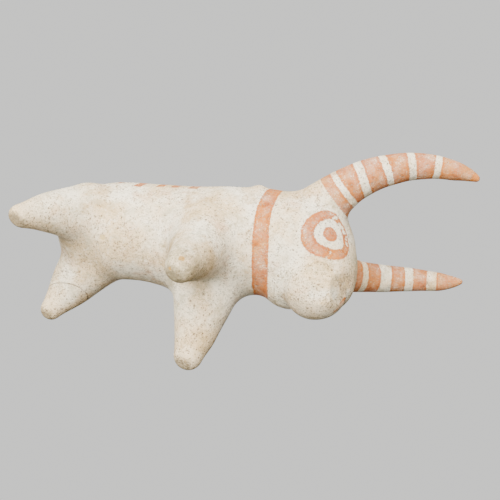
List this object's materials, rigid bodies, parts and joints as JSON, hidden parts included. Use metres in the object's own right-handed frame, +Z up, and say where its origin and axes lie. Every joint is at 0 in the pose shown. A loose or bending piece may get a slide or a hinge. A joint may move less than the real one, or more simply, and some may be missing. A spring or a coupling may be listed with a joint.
{
  "type": "hand-built clay bull figure",
  "caption": "Hand-built clay bull with a round barrel body, stubby conical legs, a drooping muzzle and long striped horns that curve forward.",
  "frame": {"origin": "on the ground that the four worn soles stand on, under the middle of the object's box", "axes": "+X towards the head, +Y to the bull's left, +Z up"},
  "size_m": [0.1596, 0.0712, 0.1019],
  "materials": {
    "slipped_clay": "matt cream slip over fired clay, speckled and mottled, worn at the feet",
    "painted_clay": "matt cream slip with brushed red earth bands",
    "coil_clay": "matt cream slip smoothed over a luted joint"
  },
  "bodies": {
    "root": {"rear_body_bowl": "slipped_clay", "front_body_bowl": "slipped_clay", "body_seam_coil": "coil_clay", "head_shell": "slipped_clay", "neck_coil": "coil_clay", "muzzle": "slipped_clay", "muzzle_coil": "coil_clay", "right_horn": "painted_clay", "left_horn": "painted_clay", "right_horn_coil": "coil_clay", "left_horn_coil": "coil_clay", "front_right_leg": "slipped_clay", "front_left_leg": "slipped_clay", "hind_right_leg": "slipped_clay", "hind_left_leg": "slipped_clay", "hind_left_foot": "slipped_clay", "front_right_leg_coil": "coil_clay", "front_left_leg_coil": "coil_clay", "hind_right_leg_coil": "coil_clay", "hind_left_leg_coil": "coil_clay"}
  },
  "joints": []
}
